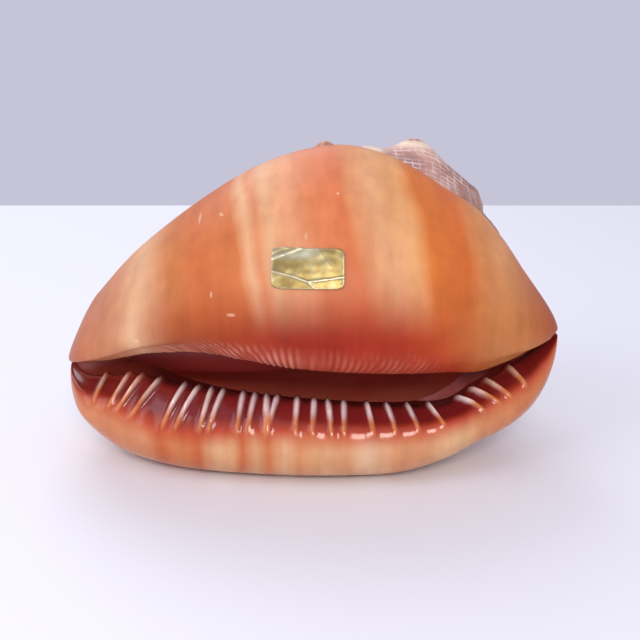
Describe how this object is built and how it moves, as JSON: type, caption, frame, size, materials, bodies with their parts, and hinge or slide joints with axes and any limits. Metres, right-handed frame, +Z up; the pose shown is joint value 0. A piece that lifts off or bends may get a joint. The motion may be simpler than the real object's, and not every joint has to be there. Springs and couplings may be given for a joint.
{
  "type": "cameo shell",
  "caption": "Large helmet sea shell lying on its rolled, toothed outer lip, with an oval cameo carved on its knobbed back and a bare foil label on the glossy shield; a shelf ornament.",
  "frame": {"origin": "middle of the whole thing's box, on the surface that the shell lies on", "axes": "+X along the coiling axis towards the spire, +Y away from the mouth towards the carved back, +Z up"},
  "size_m": [0.1514, 0.092, 0.0928],
  "materials": {
    "shell": "polished orange and cream shell, with a rougher brown mottled crust on the back",
    "foil": "creased gold foil on paper"
  },
  "bodies": {
    "root": {"shell": "shell", "foil_label": "foil"}
  },
  "joints": []
}
